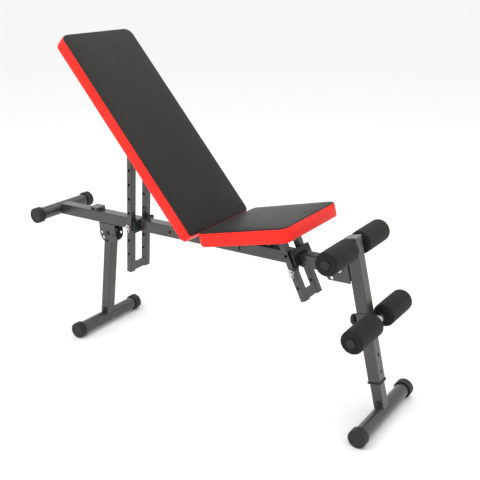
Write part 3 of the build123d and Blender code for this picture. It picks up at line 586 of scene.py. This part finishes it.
def seam_thread(name, body, slab, piece, inset, material):
    """A row of stitches just inside the seam: short rounded rods laid end to end, each sinking at its ends."""
    mesh = baked(piece)
    tree = BVHTree.FromPolygons(mesh_points(mesh).tolist(), [list(p.vertices) for p in mesh.polygons])
    pitch = 0.0052
    length = 0.0040
    ring = outline(slab, inset, 4096)
    round_trip = np.linalg.norm(ring - np.roll(ring, 1, axis=0), axis=1).sum()
    count = int(round_trip / pitch)
    middles = outline(slab, inset, count)
    ahead = np.roll(middles, -1, axis=0) - np.roll(middles, 1, axis=0)
    ahead = ahead / np.linalg.norm(ahead, axis=1, keepdims=True)
    heights = np.empty(count)
    up = Vector(slab.axes[2])
    for i, (x, y) in enumerate(middles):
        above = Vector(slab.out(np.array([x, y, slab.thick + 0.03])))
        hit = tree.ray_cast(above, -up, 0.06)[0]
        heights[i] = (np.array(hit) - slab.origin) @ slab.axes[2] if hit else slab.thick
    share = np.linspace(-1, 1, 5)
    bow = 0.00045 * (1 - share ** 2) - 0.00018
    thick = 0.00042 * np.sqrt(np.clip(1.08 - share ** 2, 0, 1))
    angle = 2 * np.pi * np.arange(6) / 6
    side = np.column_stack([-ahead[:, 1], ahead[:, 0]])
    centre = middles[:, None, :] + ahead[:, None, :] * (share * length / 2)[None, :, None]
    flat = centre[:, :, None, :] + side[:, None, None, :] * (thick[:, None] * np.cos(angle))[None, :, :, None]
    tall = heights[:, None, None] + bow[None, :, None] + (thick[:, None] * np.sin(angle))[None]
    points = np.concatenate([flat, tall[..., None]], axis=-1).reshape(count, -1, 3)
    one = grid_faces(5, 6).tolist() + [list(range(6))[::-1], list(range(24, 30))]
    faces = [[i * 30 + v for v in face] for i in range(count) for face in one]
    made = outward(make_mesh(name, slab.out(points.reshape(-1, 3)), faces))
    return make_piece(name, made, body, material)


# ---------------------------------------------------------------- rollers, caps and knob
def foam_roller(node, material):
    """A foam sleeve: a rounded rectangle carried round the roller tube, barrelled and dished a little."""
    low, high = (np.array(corner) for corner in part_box(node))
    middle = (low + high) / 2
    half = (high[1] - low[1]) / 2
    outer = (high[2] - low[2]) / 2
    bore = 12.75 * MM
    rim = 7.5 * MM
    profile = np.concatenate([
        arc((-half + 2 * MM, bore + 2 * MM), 2 * MM, 180, 270, 5),
        arc((half - 2 * MM, bore + 2 * MM), 2 * MM, 270, 360, 5),
        arc((half - rim, outer - rim), rim, 0, 90, 11),
        arc((-half + rim, outer - rim), rim, 90, 180, 11)])
    profile = fine_line(np.vstack([profile, profile[:1]]), 6 * MM)[:-1]
    face = np.clip((profile[:, 1] - bore) / (outer - rim - bore), 0, 1)
    dish = np.sin(np.pi * face) * 1.2 * MM * (np.abs(profile[:, 0]) > half - 3 * MM)
    profile[:, 0] -= np.sign(profile[:, 0]) * dish

    def uneven(angle, along, radius):
        """The skin's slight waves, none on the bore."""
        skin = np.clip((radius - 0.7 * outer) / (0.3 * outer), 0, 1)
        slack = np.sin(3 * angle + 40 * along) + np.sin(5 * angle - 62 * along + middle[0])
        barrel = -(along / half) ** 4
        return skin * (0.1 * MM * slack + 0.5 * MM * barrel - 0.1 * MM)

    points, faces = turned(profile, 96, uneven, True)
    mesh = outward(make_mesh(node + "_sleeve", points + middle, faces))
    piece = make_piece(node + "_sleeve", mesh, node, material, (node,))
    return piece


def ribbed_caps(node, body, material):
    """Two end caps: a cup with flutes round its skirt and a stepped end, flat where it stands."""
    low, high = (np.array(corner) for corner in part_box(node))
    outer = (high[0] - low[0]) / 2
    axis = np.array([(low[0] + high[0]) / 2, 0, high[2] - outer])
    tip = high[1]
    length = 27 * MM
    bore = 22.55 * MM
    profile = np.concatenate([
        [[tip - 0.6 * MM, 2 * MM], [tip - 0.6 * MM, 13.2 * MM], [tip - 1.1 * MM, 13.8 * MM],
         [tip - 1.1 * MM, 15.4 * MM], [tip - 0.1 * MM, 16.0 * MM], [tip, 17.0 * MM]],
        arc((tip - 4.5 * MM, outer - 4.5 * MM), 4.5 * MM, 0, 90, 9),
        [[tip - 7 * MM, outer], [tip - length + 4.5 * MM, outer], [tip - length + 4.0 * MM, outer + 0.01 * MM],
         [tip - length + 0.8 * MM, outer], [tip - length, outer - 0.8 * MM], [tip - length, bore + 0.6 * MM],
         [tip - length + 0.6 * MM, bore], [tip - 4 * MM, bore], [tip - 4 * MM, 2 * MM]]])
    profile = fine_line(profile, 1.5 * MM)

    def flutes(angle, along, radius):
        """Rounded grooves along the skirt, fading out before the rim and the lip."""
        skirt = np.clip((tip - 3.5 * MM - along) / (2 * MM), 0, 1)
        skirt = skirt * np.clip((along - tip + length - 4.2 * MM) / (0.6 * MM), 0, 1)
        skirt = skirt * (radius > bore + 3 * MM)
        return -skirt * 1.1 * MM * (0.5 + 0.5 * np.cos(22 * angle)) ** 1.5

    points, faces = turned(profile, 264, flutes)
    points[:, 2] = np.maximum(points[:, 2], low[2] - axis[2])
    other = points * [1, -1, 1]
    both = np.concatenate([points, other]) + axis
    count = len(points)
    faces = faces + [[v + count for v in face][::-1] for face in faces]
    mesh = outward(make_mesh(node + "_ribbed", both, faces))
    return make_piece(node + "_ribbed", mesh, body, material, (node,))


def fluted_knob(material):
    """A round grip with shallow finger flutes, its axis square to the post."""
    joint = next(j for j in frame["joints"] if j["name"] == "roller_knob_pull")
    axis = np.array(joint["axis"], dtype=float)
    axis = axis / np.linalg.norm(axis)
    low, high = (np.array(corner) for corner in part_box("roller_knob"))
    middle = (low + high) / 2
    points = mesh_points(frame["nodes"]["roller_knob"].data)
    reach = (points - middle) @ axis
    half = (reach.max() - reach.min()) / 2
    middle = middle + axis * (reach.max() + reach.min()) / 2
    outer = (high[1] - low[1]) / 2
    profile = np.concatenate([
        [[-half, 4.6 * MM]], arc((-half + 1.5 * MM, outer - 4.5 * MM), 1.5 * MM, 180, 90, 5),
        arc((-half + 4.5 * MM, outer - 1.2 * MM), 1.2 * MM, 160, 90, 4),
        arc((half - 4 * MM, outer - 4 * MM), 4 * MM, 90, 0, 9),
        [[half - 0.2 * MM, outer - 7 * MM], [half - 1.0 * MM, outer - 8 * MM], [half - 1.0 * MM, 1.5 * MM]]])
    profile = fine_line(profile, 1.2 * MM)

    def flutes(angle, along, radius):
        """Shallow hollows round the grip."""
        grip = np.clip((radius - outer + 5 * MM) / (4 * MM), 0, 1)
        return -grip * 1.5 * MM * (0.5 + 0.5 * np.cos(9 * angle)) ** 2

    points, faces = turned(profile, 144, flutes)
    side = np.cross([0, 1, 0], axis)
    turn = np.array([side, axis, np.cross(side, axis)])
    mesh = outward(make_mesh("roller_knob_grip", middle + points @ turn, faces))
    return make_piece("roller_knob_grip", mesh, "roller_knob", material, ("roller_knob",))


# ---------------------------------------------------------------- the bench
back_slab = Slab("backrest_pad", "backrest_board", -1, 0.018, 0.030)
seat_slab = Slab("seat_pad", "seat_board", 1, 0.012, 0.028)
paint = frame_paint()
plastic = black_plastic()
grey_plastic = black_plastic("grey_plastic_cap", (0.16, 0.158, 0.15), (0.22, 0.216, 0.205))
finishes = {
    "frame_paint": paint,
    "black_plastic": plastic,
    "rubber": bumper_rubber(),
    "zinc": zinc_plate(),
    "roller_steel": roller_steel(),
    "foam": foam_skin(),
}
slot_of = {part["node"]: part["material_slot"] for part in frame["record"]["subparts"]}
for node, thing in frame["nodes"].items():
    if slot_of[node] in finishes:
        thing.data.materials.clear()
        thing.data.materials.append(finishes[slot_of[node]])
for node, slab in (("backrest_board", back_slab), ("seat_board", seat_slab)):
    frame["nodes"][node].data.materials.clear()
    frame["nodes"][node].data.materials.append(plywood(slab.origin, slab.axes))
frame["nodes"]["post_top_cap"].data.materials[0] = grey_plastic
dark_bolt = black_zinc()
for node in ("front_foot_bolt", "rear_foot_bolt", "leg_pivot_bolt"):
    frame["nodes"][node].data.materials[0] = dark_bolt

thread = stitch_thread()
back_cushion = cushion("backrest_cushion", "backrest", back_slab, ("backrest_pad",), 0.003, 0.001)
seat_cushion = cushion("seat_cushion", "seat", seat_slab, ("seat_pad",), 0.003, 0.003)
seam_thread("backrest_stitches", "backrest", back_slab, back_cushion, 0.0075, thread)
seam_thread("seat_stitches", "seat", seat_slab, seat_cushion, 0.0075, thread)
for name in ("upper_foam_left", "upper_foam_right", "lower_foam_left", "lower_foam_right"):
    foam_roller(name, finishes["foam"])
ribbed_caps("crossbar_caps", "frame", plastic)
ribbed_caps("rear_foot_caps", "rear_leg", plastic)
ribbed_caps("front_foot_caps", "front_leg", plastic)
fluted_knob(plastic)


# ---------------------------------------------------------------- floor, light and camera
def studio_floor():
    """A wide pale floor."""
    f = Finish("pale_floor", (0.92, 0.92, 0.92), 0.9)
    size = 60.0
    points = np.array([[-size, -size, 0], [size, -size, 0], [size, size, 0], [-size, size, 0]]) - [0, 0, 0.0005]
    floor = bpy.data.objects.new("studio_floor", make_mesh("studio_floor", points, [[0, 1, 2, 3]]))
    bpy.context.scene.collection.objects.link(floor)
    floor.data.materials.append(f.material)


def softbox(name, place, aim, width, height, watts):
    """A soft rectangular light aimed at a point."""
    light = bpy.data.lights.new(name, "AREA")
    light.shape = "RECTANGLE"
    light.size = width
    light.size_y = height
    light.energy = watts
    lamp = bpy.data.objects.new(name, light)
    lamp.location = place
    lamp.rotation_euler = (Vector(aim) - Vector(place)).to_track_quat("-Z", "Y").to_euler()
    bpy.context.scene.collection.objects.link(lamp)


def camera():
    view = bpy.data.cameras.new("camera")
    view.lens = 55.58
    view.sensor_width = 36.0
    eye = bpy.data.objects.new("camera", view)
    eye.location = (1.398, -1.786, 1.285)
    eye.rotation_euler = (math.radians(69.33), math.radians(0.13), math.radians(34.95))
    bpy.context.scene.collection.objects.link(eye)
    bpy.context.scene.camera = eye


studio_floor()
softbox("key_light", (-0.6, -2.2, 2.8), (0, 0, 0.4), 2.4, 1.8, 38)
softbox("top_light", (0.3, 0.6, 3.2), (0, 0, 0.4), 3.0, 3.0, 30)
softbox("side_light", (3.0, -0.6, 1.6), (0.2, 0, 0.4), 1.6, 2.2, 8)
world = bpy.data.worlds.new("studio")
world.use_nodes = True
world.node_tree.nodes["Background"].inputs["Color"].default_value = (1, 1, 1, 1)
world.node_tree.nodes["Background"].inputs["Strength"].default_value = 1.0
bpy.context.scene.world = world
bpy.context.scene.view_settings.view_transform = "Standard"
camera()
